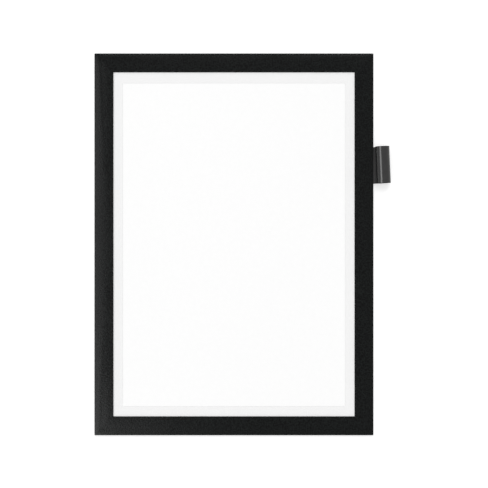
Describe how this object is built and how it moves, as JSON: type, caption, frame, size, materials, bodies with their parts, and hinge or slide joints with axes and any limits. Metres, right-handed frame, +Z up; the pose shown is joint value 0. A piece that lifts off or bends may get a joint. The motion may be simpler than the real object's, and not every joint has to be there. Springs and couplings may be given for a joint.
{
  "type": "magnetic display frame",
  "caption": "Flat self-adhesive display frame for one sheet: black magnetic border on a film hinge, clear lip round an open writing window, clear back panel, and a pen loop at the side.",
  "frame": {"origin": "the middle of the frame's outline, in the plane where the adhesive strips meet the wall", "axes": "+X to the right as the frame is read, +Z up, +Y into the wall, so the front faces -Y"},
  "size_m": [0.2496, 0.0127, 0.323],
  "materials": {
    "black_film": "matte",
    "clear_film": "gloss",
    "adhesive_film": "satin",
    "coated_steel": "satin",
    "magnet_rubber": "matte",
    "sheet_paper": "matte",
    "hinge_tape": "satin",
    "loop_film": "gloss"
  },
  "bodies": {
    "back": {"back_panel": "clear_film", "adhesive_strip_top": "adhesive_film", "adhesive_strip_bottom": "adhesive_film", "adhesive_strip_left": "adhesive_film", "adhesive_strip_right": "adhesive_film", "steel_strip_top": "coated_steel", "steel_strip_bottom": "coated_steel", "steel_strip_left": "coated_steel", "steel_strip_right_upper": "coated_steel", "steel_strip_right_lower": "coated_steel", "insert_sheet": "sheet_paper", "hinge_film": "hinge_tape", "pen_loop_tab": "loop_film"},
    "front": {"front_face": "black_film", "window_lip": "clear_film", "magnet_strip_top": "magnet_rubber", "magnet_strip_bottom": "magnet_rubber", "magnet_strip_left": "magnet_rubber", "magnet_strip_right": "magnet_rubber"},
    "loop": {"pen_loop": "loop_film"}
  },
  "joints": [
    {"name": "front_hinge", "type": "hinge", "parent": "back", "child": "front", "pos_m": [-0.118, -0.00115, 0], "axis": [0, 0, -1], "range_deg": [0, 175], "deforming": ["hinge_film"]},
    {"name": "loop_swing", "type": "hinge", "parent": "back", "child": "loop", "pos_m": [0.1189, -0.0009, 0.0668], "axis": [0, 0, -1], "range_deg": [0, 45], "stiffness_Nm_per_rad": 0.004}
  ]
}
